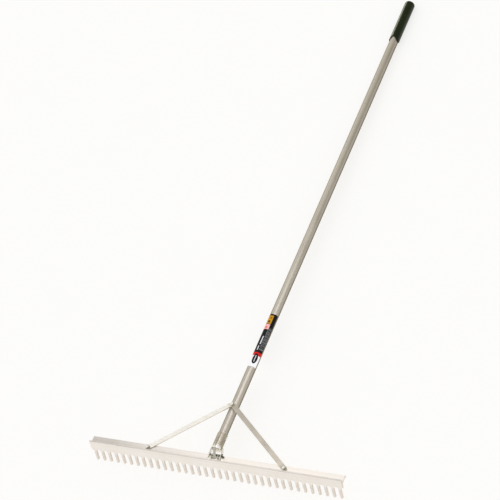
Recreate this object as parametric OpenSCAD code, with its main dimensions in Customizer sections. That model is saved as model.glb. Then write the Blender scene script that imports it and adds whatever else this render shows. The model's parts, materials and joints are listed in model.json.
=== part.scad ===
// Landscape rake: a straight extruded aluminium head with 36 teeth, held on a tube
// handle by a forked socket and two flat braces. It lies on the floor as it would be
// put down: on its tooth tips and on the end of its grip.
// X runs along the head, Y along the handle towards the grip, Z up.

/* [Head] */
// Number of teeth
teeth = 36; // [12:1:48]
// Distance from one tooth to the next
pitch = 25.4; // [20:0.1:30]
// Thickness of the tooth plate
plate_t = 6.35; // [4:0.05:8]
// Height of the plate above the gaps between the teeth
plate_h = 32; // [26:0.5:45]
// Length of a tooth
tooth_l = 42.5; // [25:0.5:70]
// Width of a tooth at its root
tooth_root_w = 8.6; // [6:0.1:10]
// Width of a tooth at its tip
tooth_tip_w = 7.2; // [5:0.1:9]
// Lean of the tooth plate away from square to the handle, in degrees
lean = 19; // [5:1:30]
// How far the flange sits below the plate's upper edge
flange_drop = 12.7; // [10:0.1:16]
// Depth of the flange behind the plate's upper edge
flange_d = 24.5; // [22:0.5:30]
// Thickness of the flange
flange_t = 4.6; // [3:0.1:6]
// Height of the stiffening lip under the flange's back edge
lip_h = 5; // [2:0.5:8]

/* [Handle] */
// Outer diameter of the tube
tube_d = 28.6; // [26:0.1:30]
// Wall of the tube
tube_wall = 1.8; // [1.2:0.1:3]
// Distance from the head to the far end of the grip
reach = 1836; // [1200:1:1900]
// Length of the grip
grip_l = 170; // [110:1:200]
// Outer diameter of the grip
grip_d = 35; // [34:0.1:40]
// Radius of the grip's rounded end
grip_end_r = 11; // [6:0.5:11]
// Depth of the arches in the grip's lower edge
grip_arch = 12.5; // [8:0.5:15]
// Distance from the head to the lower edge of the label
label_start = 341; // [260:1:500]
// Length of the label
label_l = 200; // [120:1:240]

/* [Braces] */
// Width of a brace
brace_w = 16; // [16:0.5:22]
// Thickness of a brace
brace_t = 3.2; // [2.5:0.1:4]
// Distance from the head to the bolt through the handle
brace_y = 193; // [150:1:230]
// Distance from the middle of the head to the bolt at a brace's lower end
brace_x = 248; // [200:1:300]

/* [Socket] */
// Wall of the socket
socket_t = 2.2; // [1.6:0.1:2.8]
// Distance from the head to the mouth of the socket
socket_end = 92; // [80:1:110]
// Half the width over the socket's side legs
fork_w = 22.2; // [21:0.1:26]

/* [Hidden] */
$fn = 64;
eps = 0.01;

// Head, seen in the tool's own frame: y along the handle from the plate's upper edge,
// z square to the handle, both in the middle of the plate's thickness.
head_l = teeth * pitch;
plate_l = plate_h + tooth_l;
gap_root_w = pitch - tooth_root_w;
gap_tip_w = pitch - tooth_tip_w;
tip_bevel = 1.4;
flange_top = -flange_drop;
flange_bottom = flange_top - flange_t;
lip_t = 3;
gusset = 4;

// Handle
tube_r = tube_d / 2;
bore_r = tube_r - tube_wall;
axis_z = flange_top + tube_r;
cap_t = 6;
grip_r = grip_d / 2;
grip_start = reach - grip_l;
arch_r = (grip_r * grip_r + grip_arch * grip_arch) / (2 * grip_arch);
label_t = 0.3;
label_gap_from = 84;
label_gap_to = 154;

// Quarter-inch fasteners and the smaller ones in the bracket
shank_r = 3.15;
hole_r = 3.35;
hex_af = 11.1;
hex_h = 4.3;
nut_h = 5.4;
washer_r = 7.2;
washer_t = 1.3;
small_r = 2.5;
small_hole_r = 2.75;
small_af = 8;
small_hex_h = 3.5;
small_nut_h = 4;
small_washer_r = 5;
small_washer_t = 1;
thread_end = 2.5;

// Braces
brace_end_y = 14;
brace_run = sqrt(pow(brace_x, 2) + pow(brace_y - brace_end_y, 2));
brace_turn = atan2(brace_end_y - brace_y, brace_x);
tube_tab = 14;
flange_tab = 17;
tube_top = axis_z + tube_r;

// Socket: a sleeve with an end wall, and the slot beside its top
socket_start = 36;
socket_r = tube_r + socket_t;
tube_start = socket_start + socket_t;
split_w = 2.5;
split_turn = 32;

// Side legs: wall, extent over the flange, height there and at the socket, and how
// they run up into the socket's wall
fork_t = 2.5;
fork_start = 3.2;
fork_base_end = 25;
fork_low = 10;
fork_high = 17;
leg_up = 12;
leg_bite = 0.6;
leg_stand = 0.8;
leg_rise = 2;
leg_rise_up = 8;
leg_shoulder = 4;
leg_over = 1;

// Tongue: width, length on top of the socket, and its foot on the base plate
tongue_w = 9;
tongue_seat = 4;
tongue_foot_from = 4;
tongue_foot_to = 8;
tongue_foot_under = 11;
tongue_foot_h = 1;
tongue_back = 1.5;

// Fixings of the socket
bracket_bolt_x = 11.5;
bracket_bolt_y = 14;
clamp_y = 23;
clamp_nut_h = 2.7;
clamp_end = 1.3;
clamp_z = flange_top + 5.6;
rivet_play = 0.1;
rivet_y = 80;
rivet_r = 2.4;
rivet_head_r = 4.8;
rivet_head_h = 2.2;

// Resting pose: the back corner of the tooth tips and the rounded end of the grip
// both touch the floor.
tip_y = -plate_l * sin(lean) + plate_t / 2 * cos(lean);
tip_z = -plate_l * cos(lean) - plate_t / 2 * sin(lean);
heel_y = reach - grip_end_r;
heel_z = axis_z - grip_r + grip_end_r;
span = sqrt(pow(heel_y - tip_y, 2) + pow(heel_z - tip_z, 2));
dip = atan2(heel_z - tip_z, heel_y - tip_y) - asin(grip_end_r / span);
floor_z = -tip_y * sin(dip) + tip_z * cos(dip);
// Front of the tooth tips and far end of the grip, to centre the tool on Y
front_y = (-plate_l * sin(lean) - plate_t / 2 * cos(lean)) * cos(dip)
        + (-plate_l * cos(lean) + plate_t / 2 * sin(lean)) * sin(dip);
back_y = heel_y * cos(dip) + (axis_z + grip_r - grip_end_r) * sin(dip) + grip_end_r;

// Lays the tool's own frame on the floor.
module lay() {
    translate([0, -(front_y + back_y) / 2, -floor_z]) rotate([-dip, 0, 0]) children();
}

// Turns a shape made along +Z so that it runs along the handle, from y.
module along_handle(y) {
    translate([0, y, axis_z]) rotate([-90, 0, 0]) children();
}

// Turns an outline drawn as (y, z) so that its thickness runs along X, centred.
module across(w) {
    rotate([90, 0, 90]) translate([0, 0, -w / 2]) linear_extrude(w) children();
}

module hex_prism(af, h) {
    cylinder(r = af / 2 / cos(30), h = h, $fn = 6);
}

// Hexagon bolt: head above z = 0, shank down to -l.
module hex_bolt(r, af, head_h, l) {
    hex_prism(af, head_h);
    translate([0, 0, -l]) cylinder(r = r, h = l + eps);
}

// Nut or washer on its seat at z = 0, upwards.
module nut(r, af, h) {
    difference() {
        hex_prism(af, h);
        translate([0, 0, -1]) cylinder(r = r, h = h + 2);
    }
}

module washer(r, hole, t) {
    difference() {
        cylinder(r = r, h = t);
        translate([0, 0, -1]) cylinder(r = hole, h = t + 2);
    }
}

// ---- Head ----

// A point of the section: u up the plate from its upper edge, v out of its front face.
function on_plate(u, v) = [u * sin(lean) - v * cos(lean), u * cos(lean) + v * sin(lean)];

// The plate's back face at height z.
function back_at(z) = z * tan(lean) + plate_t / 2 / cos(lean);

// Section of the head, as (y, z): the plate with its round upper edge, and the flange
// behind it with a lip under its back edge and a small gusset above and below.
module head_section() {
    half = plate_t / 2;
    under = flange_bottom - gusset;
    over = flange_top + gusset;
    polygon([on_plate(-half, half), on_plate(-plate_l, half), on_plate(-plate_l, -half),
             [back_at(under), under], [back_at(flange_bottom) + gusset, flange_bottom],
             [flange_d - lip_t, flange_bottom], [flange_d - lip_t, flange_bottom - lip_h],
             [flange_d, flange_bottom - lip_h], [flange_d, flange_top],
             [back_at(flange_top) + gusset, flange_top], [back_at(over), over],
             on_plate(-half, -half)]);
    translate(on_plate(-half, 0)) circle(r = half);
}

// One gap between two teeth, drawn downwards from the plate's upper edge: a round
// top, straight sides that widen slowly, and a bevel that rounds the tooth tips.
module tooth_gap() {
    r = gap_root_w / 2;
    translate([0, -plate_h - r]) circle(r = r);
    polygon([[-r, -plate_h - r], [-gap_tip_w / 2, -plate_l + tip_bevel],
             [-gap_tip_w / 2 - tip_bevel, -plate_l - eps],
             [gap_tip_w / 2 + tip_bevel, -plate_l - eps],
             [gap_tip_w / 2, -plate_l + tip_bevel], [r, -plate_h - r]]);
}

module rake_head() {
    color("gainsboro") lay() difference() {
        across(head_l) head_section();
        for (i = [0:teeth])
            translate([(i - teeth / 2) * pitch, 0, 0]) rotate([90 - lean, 0, 0])
                translate([0, 0, -plate_t]) linear_extrude(2 * plate_t) tooth_gap();
        for (x = [-brace_x, brace_x])
            translate([x, brace_end_y, flange_bottom - 1]) cylinder(r = hole_r, h = flange_t + 2);
        for (x = [-bracket_bolt_x, bracket_bolt_x])
            translate([x, bracket_bolt_y, flange_bottom - 1])
                cylinder(r = small_hole_r, h = flange_t + 2);
    }
}

// ---- Handle ----

module handle_tube() {
    color("tan") lay() difference() {
        along_handle(tube_start) cylinder(r = tube_r, h = reach - cap_t - tube_start);
        along_handle(tube_start - 1) cylinder(r = bore_r, h = reach - cap_t - tube_start + 2);
        translate([0, brace_y, axis_z - tube_d]) cylinder(r = hole_r, h = 2 * tube_d);
        translate([-tube_d, rivet_y, axis_z]) rotate([0, 90, 0])
            cylinder(r = rivet_r + rivet_play, h = 2 * tube_d);
    }
}

// Half outline of the grip: straight side and a rounded closed end. It starts a little
// before the grip, so that the arches cut its whole edge.
module grip_outline() {
    translate([0, -1]) square([grip_r, grip_l - grip_end_r + 1]);
    square([grip_r - grip_end_r, grip_l]);
    translate([grip_r - grip_end_r, grip_l - grip_end_r])
        intersection() {
            circle(r = grip_end_r);
            square(grip_end_r + 1);
        }
}

module grip() {
    color("darkslategray") lay() difference() {
        along_handle(grip_start) rotate_extrude() grip_outline();
        along_handle(grip_start - 2) cylinder(r = tube_r, h = grip_l - cap_t + 2);
        // Arches above and below, which leave a point on each side
        difference() {
            translate([-grip_d, grip_start - 2, axis_z - grip_d])
                cube([2 * grip_d, arch_r + 2, 2 * grip_d]);
            translate([-2 * grip_d, grip_start + arch_r, axis_z]) rotate([0, 90, 0])
                cylinder(r = arch_r, h = 4 * grip_d);
        }
    }
}

// Thin printed sleeve that wraps most of the tube and leaves a strip of it bare.
module label() {
    reach_r = 2 * tube_d;
    color("black") lay() difference() {
        along_handle(label_start) cylinder(r = tube_r + label_t, h = label_l);
        along_handle(label_start - 1) cylinder(r = tube_r, h = label_l + 2);
        translate([0, label_start - 1, axis_z]) rotate([-90, 0, 0]) linear_extrude(label_l + 2)
            polygon([[0, 0],
                     for (a = [label_gap_from, (label_gap_from + label_gap_to) / 2, label_gap_to])
                         reach_r * [sin(a), -cos(a)]]);
    }
}

// ---- Braces ----

// Flat strap from the bolt on the handle down to the flange, with both ends flat and
// rounded. lift is the height of its upper end above the tube.
module brace(side, lift) {
    high = tube_top + lift;
    low = flange_top;
    translate([0, brace_y, 0]) mirror([side < 0 ? 1 : 0, 0, 0]) rotate(brace_turn)
        difference() {
            union() {
                rotate([90, 0, 0]) translate([0, 0, -brace_w / 2]) linear_extrude(brace_w)
                    polygon([[0, high], [tube_tab, high], [brace_run - flange_tab, low],
                             [brace_run, low], [brace_run, low + brace_t],
                             [brace_run - flange_tab, low + brace_t],
                             [tube_tab, high + brace_t], [0, high + brace_t]]);
                translate([0, 0, high]) cylinder(r = brace_w / 2, h = brace_t);
                translate([brace_run, 0, low]) cylinder(r = brace_w / 2, h = brace_t);
            }
            translate([0, 0, high - 1]) cylinder(r = hole_r, h = brace_t + 2);
            translate([brace_run, 0, low - 1]) cylinder(r = hole_r, h = brace_t + 2);
        }
}

module brace_left() {
    color("silver") lay() brace(-1, brace_t);
}

module brace_right() {
    color("silver") lay() brace(1, 0);
}

// ---- Fasteners of the braces ----

brace_bolt_seat = tube_top + 2 * brace_t;
tube_bottom = axis_z - tube_r;

module brace_bolt() {
    color("gray") lay() translate([0, brace_y, brace_bolt_seat])
        hex_bolt(shank_r, hex_af, hex_h,
                 brace_bolt_seat - tube_bottom + washer_t + nut_h + thread_end);
}

module brace_bolt_washer() {
    color("gray") lay() translate([0, brace_y, tube_bottom - washer_t])
        washer(washer_r, hole_r, washer_t);
}

module brace_bolt_nut() {
    color("gray") lay() translate([0, brace_y, tube_bottom - washer_t - nut_h])
        nut(shank_r, hex_af, nut_h);
}

// Places its children at both lower brace ends, at height z.
module at_brace_ends(z) {
    for (x = [-brace_x, brace_x]) translate([x, brace_end_y, z]) children();
}

end_seat = flange_top + brace_t + washer_t;

module brace_end_bolts() {
    color("gray") lay() at_brace_ends(end_seat)
        hex_bolt(shank_r, hex_af, hex_h,
                 end_seat - flange_bottom + washer_t + nut_h + thread_end);
}

module brace_end_washers() {
    color("gray") lay() at_brace_ends(end_seat - washer_t) washer(washer_r, hole_r, washer_t);
}

module brace_end_nut_washers() {
    color("gray") lay() at_brace_ends(flange_bottom - washer_t)
        washer(washer_r, hole_r, washer_t);
}

module brace_end_nuts() {
    color("gray") lay() at_brace_ends(flange_bottom - washer_t - nut_h)
        nut(shank_r, hex_af, nut_h);
}

// ---- Socket ----

// Side leg of the fork in plan: off the side of the socket, out, then straight to the
// head.
module leg_plan() {
    inner = fork_w - fork_t;
    top = socket_start + leg_up;
    polygon([[tube_r + leg_bite, top], [socket_r + leg_stand, top],
             [fork_w, socket_start - leg_over], [fork_w, fork_start], [inner, fork_start],
             [inner, socket_start - 2 * leg_over]]);
}

// The same leg from the side: low over the flange, high at the socket.
module leg_side() {
    front = fork_start - leg_over;
    back = socket_start + leg_up + leg_over;
    high = flange_top + fork_high;
    polygon([[front, flange_top], [fork_base_end, flange_top],
             [socket_start, flange_top + leg_rise], [back, flange_top + leg_rise_up],
             [back, high], [socket_start - leg_shoulder, high - leg_shoulder],
             [fork_base_end, flange_top + fork_low], [front, flange_top + fork_low]]);
}

module side_leg() {
    intersection() {
        translate([0, 0, flange_top - 1]) linear_extrude(fork_high + 2) leg_plan();
        across(4 * fork_w) leg_side();
    }
}

// Tongue from the top of the socket down to the base plate.
module tongue() {
    top = axis_z + socket_r;
    under = top - socket_t;
    base = flange_top + socket_t - eps;
    foot = flange_top + socket_t + tongue_foot_h;
    across(tongue_w)
        polygon([[socket_start + tongue_seat, top], [socket_start, top], [tongue_foot_to, foot],
                 [tongue_foot_from, foot], [tongue_foot_from, base], [tongue_foot_under, base],
                 [socket_start + tongue_back, under], [socket_start + tongue_seat, under]]);
}

module socket_bracket() {
    color("lightslategray") lay() difference() {
        union() {
            along_handle(socket_start) cylinder(r = socket_r, h = socket_end - socket_start);
            side_leg();
            mirror([1, 0, 0]) side_leg();
            tongue();
            translate([-fork_w, fork_start, flange_top])
                cube([2 * fork_w, fork_base_end - fork_start, socket_t]);
        }
        along_handle(tube_start) cylinder(r = tube_r, h = socket_end - tube_start + 1);
        // The slot beside its top
        translate([0, tube_start, axis_z]) rotate([0, split_turn, 0])
            translate([-split_w / 2, 0, 0]) cube([split_w, socket_end, 2 * tube_r]);
        for (x = [-bracket_bolt_x, bracket_bolt_x])
            translate([x, bracket_bolt_y, flange_top - 1])
                cylinder(r = small_hole_r, h = socket_t + 2);
        translate([-2 * fork_w, clamp_y, clamp_z]) rotate([0, 90, 0])
            cylinder(r = small_hole_r, h = 4 * fork_w);
        translate([-2 * fork_w, rivet_y, axis_z]) rotate([0, 90, 0])
            cylinder(r = rivet_r + rivet_play, h = 4 * fork_w);
    }
}

// Places its children at both bracket bolts, at height z.
module at_bracket_bolts(z) {
    for (x = [-bracket_bolt_x, bracket_bolt_x]) translate([x, bracket_bolt_y, z]) children();
}

bracket_seat = flange_top + socket_t;

module bracket_bolts() {
    color("gray") lay() at_bracket_bolts(bracket_seat)
        hex_bolt(small_r, small_af, small_hex_h,
                 bracket_seat - flange_bottom + small_washer_t + small_nut_h + thread_end);
}

module bracket_washers() {
    color("gray") lay() at_bracket_bolts(flange_bottom - small_washer_t)
        washer(small_washer_r, small_hole_r, small_washer_t);
}

module bracket_nuts() {
    color("gray") lay() at_bracket_bolts(flange_bottom - small_washer_t - small_nut_h)
        nut(small_r, small_af, small_nut_h);
}

module clamp_bolt() {
    color("gray") lay() translate([-fork_w, clamp_y, clamp_z]) rotate([0, -90, 0])
        hex_bolt(small_r, small_af, small_hex_h, 2 * fork_w + clamp_nut_h + clamp_end);
}

module clamp_nut() {
    color("dimgray") lay() translate([fork_w, clamp_y, clamp_z]) rotate([0, 90, 0])
        nut(small_r, small_af, clamp_nut_h);
}

// Rivet across the socket and the tube, with a low domed head at each end.
module socket_rivet() {
    dome_r = (pow(rivet_head_r, 2) + pow(rivet_head_h, 2)) / (2 * rivet_head_h);
    color("gray") lay() translate([0, rivet_y, axis_z]) {
        translate([-socket_r - 1, 0, 0]) rotate([0, 90, 0])
            cylinder(r = rivet_r, h = 2 * socket_r + 2);
        for (side = [-1, 1]) rotate([0, 90 * side, 0]) intersection() {
            translate([0, 0, socket_r + rivet_head_h - dome_r]) sphere(r = dome_r);
            translate([0, 0, socket_r]) cylinder(r = 2 * rivet_head_r, h = dome_r);
        }
    }
}

rake_head();
handle_tube();
grip();
label();
brace_left();
brace_right();
brace_bolt();
brace_bolt_washer();
brace_bolt_nut();
brace_end_bolts();
brace_end_washers();
brace_end_nut_washers();
brace_end_nuts();
socket_bracket();
bracket_bolts();
bracket_washers();
bracket_nuts();
clamp_bolt();
clamp_nut();
socket_rivet();
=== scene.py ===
"""The looks of a landscape rake: a wide toothed aluminium head on a long tube handle.

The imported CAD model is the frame. Pieces that show their edges or threads at close
range are rebuilt here with rounded edges, chamfers and real threads, and every piece
gets a node-based material for its metal, vinyl or printed film.
"""

import json
import math
from collections import namedtuple

import bmesh
import bpy
from mathutils import Matrix, Vector

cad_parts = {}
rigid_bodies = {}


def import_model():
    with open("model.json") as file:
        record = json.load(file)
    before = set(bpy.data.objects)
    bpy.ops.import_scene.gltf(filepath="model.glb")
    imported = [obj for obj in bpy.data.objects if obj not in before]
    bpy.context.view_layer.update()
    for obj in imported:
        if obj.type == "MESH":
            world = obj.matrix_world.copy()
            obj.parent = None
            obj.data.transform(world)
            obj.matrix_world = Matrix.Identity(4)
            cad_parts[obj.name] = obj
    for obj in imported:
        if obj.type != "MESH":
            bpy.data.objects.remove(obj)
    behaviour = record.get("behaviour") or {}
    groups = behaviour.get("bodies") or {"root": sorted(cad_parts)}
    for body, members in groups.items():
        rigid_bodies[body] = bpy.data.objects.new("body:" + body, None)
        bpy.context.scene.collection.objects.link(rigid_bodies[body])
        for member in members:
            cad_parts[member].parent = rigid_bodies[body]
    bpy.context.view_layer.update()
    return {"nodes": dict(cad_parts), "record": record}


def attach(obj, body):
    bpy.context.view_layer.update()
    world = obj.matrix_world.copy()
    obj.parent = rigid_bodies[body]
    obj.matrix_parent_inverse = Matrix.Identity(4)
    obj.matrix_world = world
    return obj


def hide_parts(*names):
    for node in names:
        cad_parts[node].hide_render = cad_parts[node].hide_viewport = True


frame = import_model()
NODES = frame["nodes"]
MM = 0.001

# ---- The tool's own frame ----
# x along the head, y along the handle from the plate's upper edge, z square to the
# handle. It lies on its tooth tips and the end of its grip, so it dips a little.
# These are the CAD's own driving dimensions, in metres.

LEAN = math.radians(19)
PLATE_T = 6.35 * MM
PLATE_H = 32 * MM
TOOTH_L = 42.5 * MM
PLATE_L = PLATE_H + TOOTH_L
FLANGE_DROP = 12.7 * MM
FLANGE_T = 4.6 * MM
TUBE_R = 14.3 * MM
GRIP_R = 17.5 * MM
GRIP_L = 170 * MM
GRIP_END_R = 11 * MM
GRIP_ARCH = 12.5 * MM
REACH = 1836 * MM
AXIS_Z = TUBE_R - FLANGE_DROP
BRACE_T = 3.2 * MM
BRACE_X = 248 * MM
BRACE_Y = 193 * MM
BRACE_END_Y = 14 * MM
BRACKET_X = 11.5 * MM
SOCKET_T = 2.2 * MM
CLAMP_Y = 23 * MM
CLAMP_RISE = 5.6 * MM
CLAMP_END = 1.3 * MM
FORK_W = 22.2 * MM


def resting_place():
    """The matrix from the tool's own frame to the row frame."""
    tip_y = -PLATE_L * math.sin(LEAN) + PLATE_T / 2 * math.cos(LEAN)
    tip_z = -PLATE_L * math.cos(LEAN) - PLATE_T / 2 * math.sin(LEAN)
    heel_y = REACH - GRIP_END_R
    heel_z = AXIS_Z - GRIP_R + GRIP_END_R
    span = math.hypot(heel_y - tip_y, heel_z - tip_z)
    dip = math.atan2(heel_z - tip_z, heel_y - tip_y) - math.asin(GRIP_END_R / span)
    turn = Matrix.Rotation(-dip, 4, "X")
    lowest = (turn @ Vector((0, tip_y, tip_z))).z
    front = (turn @ Vector((0, -PLATE_L * math.sin(LEAN) - PLATE_T / 2 * math.cos(LEAN),
                            -PLATE_L * math.cos(LEAN) + PLATE_T / 2 * math.sin(LEAN)))).y
    back = (turn @ Vector((0, heel_y, AXIS_Z + GRIP_R - GRIP_END_R))).y + GRIP_END_R
    return Matrix.Translation((0, -(front + back) / 2, -lowest)) @ turn


TOOL = resting_place()
# A frame on the handle's axis, whose z runs up the handle
HANDLE = TOOL @ Matrix.Translation((0, 0, AXIS_Z)) @ Matrix.Rotation(-math.pi / 2, 4, "X")


# ---- Materials ----

class Graph:
    """A material's node tree, with short calls for the nodes that these finishes use."""

    def __init__(self, name):
        self.material = bpy.data.materials.new(name)
        self.material.use_nodes = True
        self.nodes = self.material.node_tree.nodes
        self.links = self.material.node_tree.links
        self.shader = self.nodes["Principled BSDF"]

    def put(self, socket, value):
        if isinstance(value, bpy.types.NodeSocket):
            self.links.new(value, socket)
        else:
            socket.default_value = value

    def give(self, name, value):
        """Gives one of the shader's inputs a constant or another node's output."""
        self.put(self.shader.inputs[name], value)

    def given(self, name):
        """The output that one of the shader's inputs takes so far."""
        return self.shader.inputs[name].links[0].from_socket

    def place(self, scale=(1, 1, 1)):
        """Surface position in the tool's own frame, in metres, times scale."""
        here = self.nodes.new("ShaderNodeTexCoord").outputs["Object"]
        back = TOOL.inverted()
        turn = self.nodes.new("ShaderNodeMapping")
        turn.inputs["Location"].default_value = back.to_translation()
        turn.inputs["Rotation"].default_value = back.to_euler()
        self.put(turn.inputs["Vector"], here)
        stretch = self.nodes.new("ShaderNodeVectorMath")
        stretch.operation = "MULTIPLY"
        self.put(stretch.inputs[0], turn.outputs["Vector"])
        stretch.inputs[1].default_value = scale
        return stretch.outputs[0]

    def split(self, vector):
        node = self.nodes.new("ShaderNodeSeparateXYZ")
        self.put(node.inputs[0], vector)
        return node.outputs

    def facing(self):
        """The x, y and z of the way the surface faces, in the row frame."""
        return self.split(self.nodes.new("ShaderNodeNewGeometry").outputs["Normal"])

    def math(self, operation, a, b=0.0):
        node = self.nodes.new("ShaderNodeMath")
        node.operation = operation
        self.put(node.inputs[0], a)
        self.put(node.inputs[1], b)
        return node.outputs[0]

    def noise(self, vector, scale, detail=3.0, rough=0.55):
        node = self.nodes.new("ShaderNodeTexNoise")
        self.put(node.inputs["Vector"], vector)
        node.inputs["Scale"].default_value = scale
        node.inputs["Detail"].default_value = detail
        node.inputs["Roughness"].default_value = rough
        return node.outputs["Fac"]

    def ramp(self, value, low, high, start=0.0, end=1.0):
        """Value from low..high turned smoothly into start..end."""
        node = self.nodes.new("ShaderNodeMapRange")
        node.interpolation_type = "SMOOTHSTEP"
        self.put(node.inputs["Value"], value)
        node.inputs["From Min"].default_value = low
        node.inputs["From Max"].default_value = high
        node.inputs["To Min"].default_value = start
        node.inputs["To Max"].default_value = end
        return node.outputs["Result"]

    def mix(self, share, first, second):
        node = self.nodes.new("ShaderNodeMix")
        node.data_type = "RGBA"
        self.put(node.inputs["Factor"], share)
        self.put(node.inputs["A"], first)
        self.put(node.inputs["B"], second)
        return node.outputs["Result"]

    def bump(self, height, depth, strength, normal=None):
        node = self.nodes.new("ShaderNodeBump")
        node.inputs["Strength"].default_value = strength
        node.inputs["Distance"].default_value = depth
        self.put(node.inputs["Height"], height)
        if normal is not None:
            self.put(node.inputs["Normal"], normal)
        return node.outputs["Normal"]


def rgb(red, green, blue):
    """A screen colour, 0 to 255, as the linear colour that nodes take."""
    def linear(level):
        share = level / 255
        return share / 12.92 if share <= 0.04045 else ((share + 0.055) / 1.055) ** 2.4

    return (linear(red), linear(green), linear(blue), 1.0)


def along_stock(along, coarse, fine):
    """Texture scale that is coarse along the stock and fine across it. along names the
    axis that the stock runs along, "x" or "y"."""
    return (coarse, fine, fine) if along == "x" else (fine, coarse, fine)


def drawn_metal(name, light, dark, along, roughness, metallic=1.0, grain=1.0, spots=0.35):
    """Extruded, drawn or rolled metal: fine die lines along the stock, a cloudy oxide
    and a few scratches. spots is how deep the scratches show."""
    g = Graph(name)
    lines = g.noise(g.place(along_stock(along, 6, 1400)), 1.0, 4.0, 0.6)
    bands = g.noise(g.place(along_stock(along, 1.5, 260)), 1.0, 2.0)
    cloud = g.noise(g.place((9, 9, 9)), 1.0, 5.0, 0.6)
    fine = g.noise(g.place((700, 700, 700)), 1.0, 2.0)
    streaks = g.noise(g.place(along_stock(along, 60, 900)), 1.0, 1.0)
    scratch = g.ramp(streaks, 0.68, 0.74)
    tone = g.math("ADD", g.math("MULTIPLY", cloud, 0.55), g.math("MULTIPLY", bands, 0.45))
    g.give("Base Color", g.mix(g.ramp(tone, 0.36, 0.66), dark, light))
    g.give("Metallic", metallic)
    rough = g.math("ADD", g.ramp(cloud, 0.3, 0.7, roughness - 0.05, roughness + 0.05),
                   g.ramp(lines, 0.35, 0.65, -0.03, 0.03))
    rough = g.math("SUBTRACT", rough, g.math("MULTIPLY", scratch, spots * 0.2))
    g.give("Roughness", rough)
    height = g.math("ADD", g.math("MULTIPLY", lines, 0.7), g.math("MULTIPLY", fine, 0.3))
    height = g.math("SUBTRACT", height, g.math("MULTIPLY", scratch, spots))
    g.give("Normal", g.bump(height, 0.05 * MM * grain, 0.5))
    return g


# Where the head starts to darken towards its teeth and where it is fully dark, by height
DARK_TOP = -PLATE_H
DARK_FULL = DARK_TOP - 12 * MM


def head_aluminium():
    """Mill-finish extrusion, with its teeth a little darker, as in the photograph. Faces
    that look along x in the row frame, its sawn ends and the sides of its teeth, are
    rougher, with shear marks that run through the plate, and darker still: a painted shade."""
    g = drawn_metal("head_aluminium", rgb(247, 241, 235), rgb(238, 231, 223), "x", 0.36)
    # Faces that look along x: rougher and shear-marked, and given a painted shade
    side_faces = g.ramp(g.math("ABSOLUTE", g.facing()[0]), 0.35, 0.8)
    marks = g.noise(g.place((40, 60, 1600)), 1.0, 3.0)
    low = g.ramp(g.split(g.place())[2], DARK_FULL, DARK_TOP, 0.5, 0.0)
    # Teeth darker by height, plus the painted shade on the faces that look along x
    dull = g.math("MAXIMUM", low, g.math("MULTIPLY", side_faces, 0.8))
    g.give("Base Color", g.mix(dull, g.given("Base Color"), rgb(218, 207, 196)))
    rougher = g.math("MULTIPLY", side_faces, 0.12)
    g.give("Roughness", g.math("ADD", g.given("Roughness"), rougher))
    shear = g.math("MULTIPLY", marks, side_faces)
    g.give("Normal", g.bump(shear, 0.1 * MM, 0.4, g.given("Normal")))
    return g.material


def brace_aluminium():
    """Flat bar in plain mill finish, a little darker than the head."""
    g = drawn_metal("brace_aluminium", rgb(234, 227, 214), rgb(220, 211, 195), "x", 0.33)
    return g.material


def tube_aluminium():
    """Tube in a warm grey over fine drawing lines. Faces that look down in the row frame
    are darker: a painted shade that matches the dark edge in the photograph. It isn't a
    finish that the tube is known to have, and it doesn't turn with the tube."""
    g = drawn_metal("tube_aluminium", rgb(186, 179, 164), rgb(175, 168, 153), "y", 0.42,
                    metallic=0.8, grain=0.5, spots=0.2)
    g.give("Specular Tint", rgb(120, 114, 102))
    # Painted shade: faces that look down get a darker base colour
    under = g.ramp(g.facing()[2], -0.35, 0.5, 1.0, 0.0)
    g.give("Base Color", g.mix(under, g.given("Base Color"), rgb(126, 116, 97)))
    return g.material


def zinc(name, light, dark, roughness):
    """Zinc plate: a soft spangle over cloudy light and dark patches."""
    g = Graph(name)
    here = g.place()
    cells = g.nodes.new("ShaderNodeTexVoronoi")
    cells.feature = "F1"
    g.put(cells.inputs["Vector"], here)
    g.put(cells.inputs["Scale"], 420)
    spangle = g.split(cells.outputs["Color"])[0]
    cloud = g.noise(here, 90, 4.0, 0.6)
    fine = g.noise(here, 2600, 2.0)
    tone = g.math("ADD", g.math("MULTIPLY", spangle, 0.3), g.math("MULTIPLY", cloud, 0.7))
    g.give("Base Color", g.mix(g.ramp(tone, 0.3, 0.7), dark, light))
    g.give("Metallic", 1.0)
    g.give("Roughness", g.ramp(tone, 0.25, 0.75, roughness + 0.08, roughness - 0.06))
    g.give("Normal", g.bump(g.math("ADD", fine, spangle), 0.03 * MM, 0.5))
    return g


# Where along y the painted highlight on the bracket's fork gives way to its olive-brown sleeve
FORK_END = 36 * MM
SLEEVE_START = 50 * MM


def plated_steel():
    """Plated pressing: olive brown, with a painted highlight that makes its fork bright."""
    g = zinc("plated_steel", rgb(172, 164, 146), rgb(149, 141, 123), 0.32)
    cloud = g.noise(g.place(), 120, 3.0)
    drift = g.math("MULTIPLY", g.math("SUBTRACT", cloud, 0.5), 12 * MM)
    y = g.math("ADD", g.split(g.place())[1], drift)
    # Painted highlight: the fork is coloured much brighter than the sleeve
    bright = g.ramp(y, FORK_END, SLEEVE_START, 1.0, 0.0)
    g.give("Base Color", g.mix(bright, g.given("Base Color"), rgb(232, 228, 216)))
    return g.material


def zinc_steel():
    """Bright plated bolts, nuts, washers and rivet."""
    return zinc("zinc_steel", rgb(222, 221, 211), rgb(190, 190, 178), 0.34).material


def dark_steel():
    """The clamp bolt's nut, coloured near-black."""
    return zinc("dark_steel", rgb(78, 75, 65), rgb(52, 50, 44), 0.32).material


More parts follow.
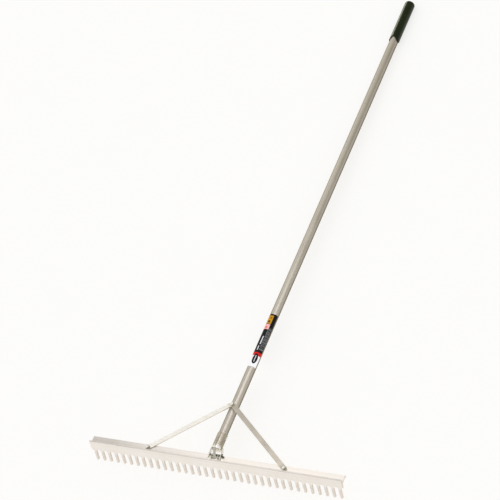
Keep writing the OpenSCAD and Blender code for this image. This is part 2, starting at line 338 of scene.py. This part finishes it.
def grip_vinyl():
    """Dipped vinyl: deep green-black and glossy, with a soft orange-peel and dull scuffs."""
    g = Graph("grip_vinyl")
    here = g.place()
    cloud = g.noise(here, 30, 4.0, 0.6)
    peel = g.noise(here, 420, 2.0)
    scuff = g.ramp(g.noise(g.place((500, 90, 500)), 1.0, 3.0), 0.56, 0.7)
    colour = g.mix(g.ramp(cloud, 0.35, 0.65), rgb(12, 25, 3), rgb(21, 36, 10))
    g.give("Base Color", g.mix(g.math("MULTIPLY", scuff, 0.35), colour, rgb(44, 50, 36)))
    g.give("Roughness", g.math("ADD", g.ramp(cloud, 0.3, 0.7, 0.24, 0.34),
                               g.math("MULTIPLY", scuff, 0.2)))
    g.give("Normal", g.bump(peel, 0.12 * MM, 0.45))
    g.give("Specular IOR Level", 0.3)
    g.give("Specular Tint", (0.95, 1, 0.68, 1))
    return g.material


# The label's layout, in mm up the handle and in degrees or mm round the tube
RED_BAND = (383, 395)
OVAL_ANGLE = 21
OVAL_UP = 371
OVAL_HALF_SIZE = (8.5, 19)
BAR_HALF_SIZE = (1.2, 12)
PRINT_UP = (404, 490)
PRINT_ANGLE = (19, 80)
RULE_STEP = 5.5


def label_film():
    """Printed film in plain blocks of colour. Every block is placed by its distance
    along the handle and its angle round the tube, with no lettering."""
    g = Graph("label_film")
    x, y, z = g.split(g.place())
    # The angle runs from the top of the tube towards +x
    angle = g.math("DEGREES", g.math("ARCTAN2", x, g.math("SUBTRACT", z, AXIS_Z)))
    up = g.math("DIVIDE", y, MM)
    edge = 0.25

    def between(value, low, high, soft=edge):
        inside = g.ramp(value, low - soft, low + soft)
        return g.math("MULTIPLY", inside, g.ramp(value, high - soft, high + soft, 1.0, 0.0))

    def square(value, size):
        return g.math("POWER", g.math("DIVIDE", value, size), 2)

    black, white = rgb(17, 15, 15), rgb(250, 250, 249)
    red, gold, pink = rgb(214, 26, 24), rgb(204, 146, 14), rgb(248, 186, 174)
    # White below, a red band, and black above it
    colour = g.mix(g.ramp(up, RED_BAND[1] - edge, RED_BAND[1] + edge), red, black)
    colour = g.mix(g.ramp(up, RED_BAND[0] - edge, RED_BAND[0] + edge), white, colour)
    # Plain dark oval over the white part and the red band, with a pale bar in it
    mm_per_degree = TUBE_R / MM * math.pi / 180
    across = g.math("MULTIPLY", g.math("SUBTRACT", angle, OVAL_ANGLE), mm_per_degree)
    along = g.math("SUBTRACT", up, OVAL_UP)
    oval = g.math("ADD", square(across, OVAL_HALF_SIZE[0]), square(along, OVAL_HALF_SIZE[1]))
    colour = g.mix(g.ramp(oval, 0.92, 1.08, 1.0, 0.0), colour, black)
    bar = g.math("MULTIPLY", between(across, -BAR_HALF_SIZE[0], BAR_HALF_SIZE[0]),
                 between(along, -BAR_HALF_SIZE[1], BAR_HALF_SIZE[1]))
    colour = g.mix(g.math("MULTIPLY", bar, 0.75), colour, white)
    # Blocks beside the upper end, then two plain bars, as colour, start and end up the
    # handle, start and end round the tube, and opacity
    for block, low, high, start, end, share in (
            (gold, 504, 535, -55, 31, 1.0),
            (black, 508, 516, -20, 12, 0.85),
            (black, 522, 530, -8, 20, 0.5),
            (pink, 483, 502, -55, 29, 1.0),
            (red, 486, 495, -30, 6, 0.6),
            (white, 425, 456, 1, 13, 0.85),
            (white, 403, 419, -5, 8, 0.8)):
        mask = g.math("MULTIPLY", between(up, low, high), between(angle, start, end, 1.0))
        colour = g.mix(g.math("MULTIPLY", mask, share), colour, block)
    # Broken rules in place of small print
    rules = g.math("PINGPONG", g.math("DIVIDE", angle, RULE_STEP), 1.0)
    breaks = g.ramp(g.noise(g.place((1, 300, 1)), 1.0, 3.0), 0.42, 0.55)
    rules = g.math("MULTIPLY", g.ramp(rules, 0.55, 0.75), breaks)
    printed = g.math("MULTIPLY", between(up, *PRINT_UP, 1.0), between(angle, *PRINT_ANGLE, 2.0))
    ink = g.math("MULTIPLY", g.math("MULTIPLY", rules, printed), 0.45)
    g.give("Base Color", g.mix(ink, colour, white))
    wear = g.noise(g.place((300, 60, 300)), 1.0, 4.0)
    g.give("Roughness", g.ramp(wear, 0.3, 0.7, 0.3, 0.42))
    # Lower than a real film's, to keep the label as dark as in the photograph
    g.give("IOR", 1.2)
    g.give("Normal", g.bump(wear, 0.05 * MM, 0.3))
    return g.material


MATERIALS = {make.__name__: make() for make in (
    head_aluminium, tube_aluminium, brace_aluminium, plated_steel, zinc_steel, dark_steel,
    grip_vinyl, label_film)}


def paint(obj, slot):
    obj.data.materials.clear()
    obj.data.materials.append(MATERIALS[slot])


SLOT_OF = {part["node"]: part["material_slot"] for part in frame["record"]["subparts"]}
for node_name, node_object in NODES.items():
    paint(node_object, SLOT_OF[node_name])


# ---- Mesh helpers ----

def piece(name, build, node, smooth_angle):
    """Makes a bmesh into a piece that stands for a CAD node and has its finish. Edges
    sharper than smooth_angle, in degrees, stay sharp."""
    bmesh.ops.recalc_face_normals(build, faces=build.faces)
    mesh = bpy.data.meshes.new(name)
    build.to_mesh(mesh)
    build.free()
    obj = bpy.data.objects.new(name, mesh)
    bpy.context.scene.collection.objects.link(obj)
    paint(obj, SLOT_OF[node])
    mesh.shade_smooth()
    mesh.set_sharp_from_angle(angle=math.radians(smooth_angle))
    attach(obj, "root")
    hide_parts(node)
    return obj


MERGE = 0.002 * MM
FLAT = math.radians(0.6)
BEVEL_ABOVE = math.radians(40)


def softened(name, node, width):
    """The node's own shape with its sharp edges rounded off."""
    build = bmesh.new()
    build.from_mesh(NODES[node].data)
    bmesh.ops.remove_doubles(build, verts=build.verts, dist=MERGE)
    bmesh.ops.dissolve_limit(build, angle_limit=FLAT, verts=build.verts, edges=build.edges)
    obj = piece(name, build, node, 35)
    bevel = obj.modifiers.new("edges", "BEVEL")
    bevel.width = width
    bevel.segments = 2
    bevel.limit_method = "ANGLE"
    bevel.angle_limit = BEVEL_ABOVE
    bevel.harden_normals = False
    bevel.use_clamp_overlap = True
    normals = obj.modifiers.new("normals", "WEIGHTED_NORMAL")
    normals.keep_sharp = True
    return obj


def bridge(build, lower, upper):
    """Quads between two closed rings of the same count."""
    count = len(lower)
    for i in range(count):
        j = (i + 1) % count
        build.faces.new((lower[i], lower[j], upper[j], upper[i]))


def lathe(build, place, profile, count, close=False):
    """Turns a profile of (radius, height) round the local z and returns its rings.
    Either may be a function of the angle. A radius of None closes on the axis."""
    rings = []
    for radius, height in profile:
        if radius is None:
            rings.append(build.verts.new(place @ Vector((0, 0, height))))
            continue
        points = []
        for i in range(count):
            turn = 2 * math.pi * i / count
            r = radius(turn) if callable(radius) else radius
            h = height(turn) if callable(height) else height
            points.append(place @ Vector((r * math.cos(turn), r * math.sin(turn), h)))
        rings.append([build.verts.new(point) for point in points])
    pairs = list(zip(rings, rings[1:]))
    if close:
        pairs.append((rings[-1], rings[0]))
    for lower, upper in pairs:
        if isinstance(lower, list) and isinstance(upper, list):
            bridge(build, lower, upper)
        else:
            tip, rim = (lower, upper) if isinstance(upper, list) else (upper, lower)
            for i in range(count):
                build.faces.new((rim[i], rim[(i + 1) % count], tip))
    return rings


# ---- Fasteners ----

Size = namedtuple("Size", "shank_r pitch af head_h nut_h washer_r washer_t hole_r")
LARGE = Size(shank_r=3.15 * MM, pitch=1.27 * MM, af=11.1 * MM, head_h=4.3 * MM, nut_h=5.4 * MM,
             washer_r=7.2 * MM, washer_t=1.3 * MM, hole_r=3.35 * MM)
SMALL = Size(shank_r=2.5 * MM, pitch=0.8 * MM, af=8 * MM, head_h=3.5 * MM, nut_h=4 * MM,
             washer_r=5 * MM, washer_t=1 * MM, hole_r=2.75 * MM)
CLAMP = SMALL._replace(nut_h=2.7 * MM)
THREAD_END = 2.5 * MM      # thread left standing past a nut
PLAIN_SHANK = 2 * MM       # unthreaded part under the heads of the flange bolts
THROUGH_THREAD = 18 * MM
CLAMP_THREAD = 16 * MM
THREAD_DEPTH = 0.54        # of the pitch
ROWS_PER_TURN = 6
AROUND = 48

# A hexagon's round faces, as shares of the distance across its flats (af)
WASHER_FACE = 0.48
CHAMFER_START = 0.47
DISH_RIM = 0.36
DISH_FLOOR = 0.34


def hexagon(af):
    """Distance from the axis to a hexagon's side, by angle."""
    half = math.pi / 6

    def radius(turn):
        return af / 2 / math.cos((turn + half) % (2 * half) - half)

    return radius


def chamfer(af, height, sign=1):
    """Height of a hexagon's 30 degree chamfer where it meets the sides."""
    side = hexagon(af)

    def edge(turn):
        return height - sign * (side(turn) - CHAMFER_START * af) * math.tan(math.radians(30))

    return edge


def threaded(build, place, size, bottom, top):
    """Rod from bottom up to top with a helical 60 degree thread and a chamfered end."""
    pitch = size.pitch
    depth = THREAD_DEPTH * pitch

    def outline(height):
        """The rod's radius at a height, by angle."""
        fade = min(1.0, (height - bottom) / pitch * 0.8 + 0.1, (top - height) / pitch + 0.05)
        end = max(0.0, 0.5 * pitch - (height - bottom)) * 0.8

        def radius(turn):
            phase = (height / pitch - turn / (2 * math.pi)) % 1.0
            return size.shank_r - depth * fade * (1 - abs(2 * phase - 1)) - end

        return radius

    rows = max(2, round((top - bottom) / pitch * ROWS_PER_TURN))
    heights = [bottom + (top - bottom) * row / rows for row in range(rows + 1)]
    rings = lathe(build, place, [(outline(height), height) for height in heights], AROUND)
    tip = build.verts.new(place @ Vector((0, 0, bottom)))
    for i in range(AROUND):
        build.faces.new((rings[0][(i + 1) % AROUND], rings[0][i], tip))


def hex_bolt(build, place, size, length, thread_l):
    """Chamfered hexagon head with a washer face, on a shank that ends in a thread."""
    af, head_h, shank_r = size.af, size.head_h, size.shank_r
    side = hexagon(af)
    face_t = 0.25 * MM
    side_start = 0.3 * MM
    dish = 0.25 * MM
    fillet = 0.4 * MM
    lathe(build, place, [(WASHER_FACE * af, 0), (WASHER_FACE * af, face_t),
                         (side, side_start), (side, chamfer(af, head_h)),
                         (CHAMFER_START * af, head_h), (DISH_RIM * af, head_h),
                         (DISH_FLOOR * af, head_h - dish), (None, head_h - dish)], AROUND)
    lathe(build, place, [(WASHER_FACE * af, 0), (shank_r + fillet, 0), (shank_r, -fillet),
                         (shank_r, -length + thread_l)], AROUND)
    threaded(build, place, size, -length, -length + thread_l)
    bmesh.ops.remove_doubles(build, verts=build.verts, dist=MERGE / 2)


def hex_nut(build, place, size):
    """Nut chamfered on both faces, with a countersunk bore."""
    af, height = size.af, size.nut_h
    side = hexagon(af)
    bore = size.shank_r + 0.05 * MM
    mouth = size.shank_r + 0.5 * MM
    sink = 0.5 * MM
    lathe(build, place, [(bore, sink), (mouth, 0), (CHAMFER_START * af, 0),
                         (side, chamfer(af, 0, -1)), (side, chamfer(af, height)),
                         (CHAMFER_START * af, height), (mouth, height),
                         (bore, height - sink)], AROUND, close=True)


def flat_washer(build, place, size):
    """Stamped washer: rounded over on its upper side, sharp under it."""
    outer, inner, thick = size.washer_r, size.hole_r, size.washer_t
    edge = 0.25 * MM
    lathe(build, place, [(inner, 0), (outer, 0), (outer, thick - edge), (outer - edge, thick),
                         (inner + edge, thick), (inner, thick - edge)], AROUND, close=True)


def turned(place, degrees):
    """The place, turned round its own z."""
    return place @ Matrix.Rotation(math.radians(degrees), 4, "Z")


def at(x, y, z):
    """A frame at a point of the tool's own frame."""
    return TOOL @ Matrix.Translation((x, y, z))


def mirrored(x, z):
    """Places at x on both sides of the head, each turned by its own angle."""
    return [turned(at(side * x, BRACE_END_Y, z), angle) for side, angle in ((-1, 12), (1, 41))]


def each(name, node, places, shape, *details):
    """One piece for a node whose shape repeats at one or more places."""
    build = bmesh.new()
    for place in places:
        shape(build, place, *details)
    return piece(name, build, node, 28)


TUBE_TOP = AXIS_Z + TUBE_R
TUBE_BOTTOM = AXIS_Z - TUBE_R
FLANGE_TOP = -FLANGE_DROP
FLANGE_BOTTOM = FLANGE_TOP - FLANGE_T


def brace_joint():
    """The bolt through both braces and the handle, with its washer and nut below."""
    seat = TUBE_TOP + 2 * BRACE_T
    under = TUBE_BOTTOM - LARGE.washer_t
    length = seat - under + LARGE.nut_h + THREAD_END
    each("brace_bolt_hex", "brace_bolt", [turned(at(0, BRACE_Y, seat), 20)],
         hex_bolt, LARGE, length, THROUGH_THREAD)
    each("brace_bolt_washer_flat", "brace_bolt_washer", [at(0, BRACE_Y, under)],
         flat_washer, LARGE)
    each("brace_bolt_nut_hex", "brace_bolt_nut",
         [turned(at(0, BRACE_Y, under - LARGE.nut_h), 8)], hex_nut, LARGE)


def brace_ends():
    """The bolts that hold the braces' lower ends to the flange."""
    seat = FLANGE_TOP + BRACE_T + LARGE.washer_t
    under = FLANGE_BOTTOM - LARGE.washer_t
    length = seat - under + LARGE.nut_h + THREAD_END
    each("brace_end_bolts_hex", "brace_end_bolts", mirrored(BRACE_X, seat),
         hex_bolt, LARGE, length, length - PLAIN_SHANK)
    each("brace_end_washers_flat", "brace_end_washers",
         mirrored(BRACE_X, seat - LARGE.washer_t), flat_washer, LARGE)
    each("brace_end_nut_washers_flat", "brace_end_nut_washers", mirrored(BRACE_X, under),
         flat_washer, LARGE)
    each("brace_end_nuts_hex", "brace_end_nuts", mirrored(BRACE_X, under - LARGE.nut_h),
         hex_nut, LARGE)


def bracket_feet():
    """The small bolts that hold the bracket to the flange."""
    seat = FLANGE_TOP + SOCKET_T
    under = FLANGE_BOTTOM - SMALL.washer_t
    length = seat - under + SMALL.nut_h + THREAD_END
    each("bracket_bolts_hex", "bracket_bolts", mirrored(BRACKET_X, seat),
         hex_bolt, SMALL, length, length - PLAIN_SHANK)
    each("bracket_washers_flat", "bracket_washers", mirrored(BRACKET_X, under),
         flat_washer, SMALL)
    each("bracket_nuts_hex", "bracket_nuts", mirrored(BRACKET_X, under - SMALL.nut_h),
         hex_nut, SMALL)


def clamp():
    """The bolt across the bracket's legs: its head is on the left, its nut on the right."""
    height = FLANGE_TOP + CLAMP_RISE
    left = at(-FORK_W, CLAMP_Y, height) @ Matrix.Rotation(-math.pi / 2, 4, "Y")
    right = at(FORK_W, CLAMP_Y, height) @ Matrix.Rotation(math.pi / 2, 4, "Y")
    length = 2 * FORK_W + CLAMP.nut_h + CLAMP_END
    each("clamp_bolt_hex", "clamp_bolt", [turned(left, 17)],
         hex_bolt, CLAMP, length, CLAMP_THREAD)
    each("clamp_nut_hex", "clamp_nut", [turned(right, 25)], hex_nut, CLAMP)


# ---- Grip ----

BORE_SHOWN = 12 * MM       # how far the bore is modelled up inside
WAIST = 0.12 * MM          # how much the grip draws in at half its length
SLIP = 0.02 * MM           # gap between the vinyl and the tube
AIR_HOLE_R = 1.2 * MM
AIR_HOLE_DEPTH = 3 * MM
FLARE = 0.6 * MM           # how much wider the air hole's mouth is
FLARE_DEPTH = 0.4 * MM
LIP_STEPS = 8
WAIST_STEPS = 24
END_STEPS = 9


def grip():
    """Dipped vinyl grip: arched lower edge with a rolled lip, and a rounded end with a
    small air hole in it."""
    start = REACH - GRIP_L
    shoulder = REACH - GRIP_END_R
    arch_r = (GRIP_R ** 2 + GRIP_ARCH ** 2) / (2 * GRIP_ARCH)
    bore = TUBE_R + SLIP
    lip = (GRIP_R - bore) / 2

    def past_edge(rise, share=0.0):
        """Height that follows the arched edge, or the flat shoulder as share nears 1."""
        def height(turn):
            arch = arch_r - math.sqrt(arch_r ** 2 - (GRIP_R * math.sin(turn)) ** 2)
            return (start + arch + rise) * (1 - share) + shoulder * share

        return height

    profile = [(bore, past_edge(BORE_SHOWN)), (bore, past_edge(lip))]
    for k in range(1, LIP_STEPS):
        a = math.pi * k / LIP_STEPS
        profile.append((bore + lip - lip * math.cos(a), past_edge(lip - lip * math.sin(a))))
    for k in range(WAIST_STEPS + 1):
        share = k / WAIST_STEPS
        drawn_in = WAIST * (0.5 - 0.5 * math.cos(2 * math.pi * share))
        profile.append((GRIP_R - drawn_in, past_edge(lip, share)))
    for k in range(1, END_STEPS + 1):
        a = math.pi / 2 * k / END_STEPS
        profile.append((GRIP_R - GRIP_END_R + GRIP_END_R * math.cos(a),
                        shoulder + GRIP_END_R * math.sin(a)))
    profile += [(AIR_HOLE_R + FLARE, REACH), (AIR_HOLE_R, REACH - FLARE_DEPTH),
                (AIR_HOLE_R, REACH - AIR_HOLE_DEPTH)]
    build = bmesh.new()
    rings = lathe(build, HANDLE, profile, 2 * AROUND)
    build.faces.new(rings[-1])
    return piece("grip_vinyl_cap", build, "grip", 50)


# ---- The pieces ----

head = softened("head_extrusion", "rake_head", 0.35 * MM)
left_bar = softened("brace_bar_left", "brace_left", 0.4 * MM)
right_bar = softened("brace_bar_right", "brace_right", 0.4 * MM)
socket = softened("socket_pressing", "socket_bracket", 0.3 * MM)
brace_joint()
brace_ends()
bracket_feet()
clamp()
cap = grip()


# ---- Stage ----

# How bright the floor's glow and the sky are; a white sheet is 1
FLOOR_GLOW = 0.725
SKY = 0.55
HALF_FLOOR = 30


def floor():
    """Pale floor that glows a little, so that it is nearly white as in the photograph."""
    mesh = bpy.data.meshes.new("floor")
    build = bmesh.new()
    bmesh.ops.create_grid(build, x_segments=1, y_segments=1, size=HALF_FLOOR)
    build.to_mesh(mesh)
    build.free()
    plane = bpy.data.objects.new("floor", mesh)
    bpy.context.scene.collection.objects.link(plane)
    g = Graph("floor")
    speck = g.noise(g.nodes.new("ShaderNodeTexCoord").outputs["Object"], 3.0, 4.0)
    g.give("Base Color", g.mix(speck, rgb(180, 180, 179), rgb(184, 184, 183)))
    g.give("Roughness", 0.9)
    g.give("Specular IOR Level", 0.1)
    g.give("Emission Color", (1, 0.995, 0.985, 1))
    g.give("Emission Strength", FLOOR_GLOW)
    mesh.materials.append(g.material)


def soft_light(name, receivers, size, radiance, color, target, direction, distance):
    """A softbox that lights only the receivers. It faces target from a direction, with
    its second side along the handle. radiance is how bright it looks; a white sheet
    is 1."""
    data = bpy.data.lights.new(name, "AREA")
    data.shape = "RECTANGLE"
    data.size, data.size_y = size
    data.energy = radiance * math.pi * size[0] * size[1]
    data.color = color
    lamp = bpy.data.objects.new(name, data)
    bpy.context.scene.collection.objects.link(lamp)
    lamp.visible_camera = False
    back = Vector(direction).normalized()
    side = Vector((0, 1, 0)).cross(back).normalized()
    turn = Matrix((side, back.cross(side), back)).transposed()
    lamp.matrix_world = Matrix.Translation(Vector(target) + back * distance) @ turn.to_4x4()
    linked = bpy.data.collections.new(name + "_receivers")
    for obj in receivers:
        linked.objects.link(obj)
    lamp.light_linking.receiver_collection = linked


def lights():
    """Softboxes tuned so that each piece has the tone it has in the photograph."""
    handle = [NODES["handle_tube"], NODES["label"], socket]
    bright_bolts = [obj for obj in bpy.context.scene.objects
                    if obj.name.startswith(("brace_bolt_", "brace_end_", "clamp_bolt_"))]
    white = (1, 1, 1)
    middle = (0, -0.75, 0.05)
    soft_light("left_brace", [left_bar], (2.2, 2.2), 0.94, (0.9, 0.97, 1.12),
               middle, (-0.75, 0.35, 0.6), 3.5)
    soft_light("head", [head], (1.3, 1.0), 0.66, white,
               (0.5, -0.88, 0.05), (-0.5, 0.44, 0.75), 1.4)
    soft_light("bolts", bright_bolts, (1.3, 1.0), 1.0, white,
               (0.1, -0.75, 0.05), (-0.5, 0.44, 0.75), 1.4)
    soft_light("front", [head, left_bar, right_bar], (2.2, 1.4), 0.4, white,
               middle, (-0.5, -0.65, 0.45), 2.5)
    soft_light("front_bolts", bright_bolts, (2.2, 1.4), 1.1, white,
               middle, (-0.5, -0.56, 0.62), 2.5)
    soft_light("right_brace", [right_bar], (0.7, 0.8), 1.9, (1, 0.975, 0.97),
               (0.78, -0.9, 0.05), (-0.36, 0.34, 0.87), 1.25)
    soft_light("handle_left", handle, (2.8, 3.6), 0.86, white,
               (0, 0, 0.05), (-0.74, 0.46, 0.48), 3.0)
    soft_light("handle_top", handle, (1.6, 3.5), 0.5, white,
               (0, -0.1, 0.05), (0.02, 0.46, 0.88), 2.6)
    soft_light("handle_stripe", handle, (1.2, 0.9), 1.95, (0.96, 0.98, 1.17),
               (0, -0.76, 0.05), (0.34, 0.46, 0.82), 1.4)
    soft_light("handle_right", handle, (0.8, 0.8), 0.62, (1, 0.92, 0.88),
               (0, -0.86, 0.05), (0.87, 0.46, 0.3), 1.6)
    soft_light("grip_edge", [cap], (0.5, 1.2), 8, (1, 0.95, 0.78),
               (0, 0.85, 0.03), (-0.86, 0.46, 0.2), 1.6)


def world():
    """Even, slightly warm light from all round."""
    made = bpy.data.worlds.new("studio")
    made.use_nodes = True
    background = made.node_tree.nodes["Background"]
    background.inputs["Color"].default_value = (1, 0.99, 0.97, 1)
    background.inputs["Strength"].default_value = SKY
    bpy.context.scene.world = made


# The camera in the tool's own frame, in metres, as fitted to the photograph, and its
# lens and sensor in mm
EYE = (4.6964, -3.7284, 7.172)
LOOK = (-0.4997, 0.4610, -0.7333)
UP = (-0.0990, 0.8106, 0.5771)
LENS = 216
SENSOR = 36


def camera():
    """Long lens from the front right and above, rolled so that the handle leans as in
    the photograph."""
    data = bpy.data.cameras.new("camera")
    data.sensor_width = SENSOR
    data.lens = LENS
    data.clip_end = 100
    cam = bpy.data.objects.new("camera", data)
    bpy.context.scene.collection.objects.link(cam)
    look = (TOOL.to_3x3() @ Vector(LOOK)).normalized()
    right = look.cross(TOOL.to_3x3() @ Vector(UP)).normalized()
    turn = Matrix((right, right.cross(look), -look)).transposed()
    cam.matrix_world = Matrix.Translation(TOOL @ Vector(EYE)) @ turn.to_4x4()
    bpy.context.scene.camera = cam


floor()
world()
camera()
lights()
bpy.context.scene.view_settings.view_transform = "Standard"
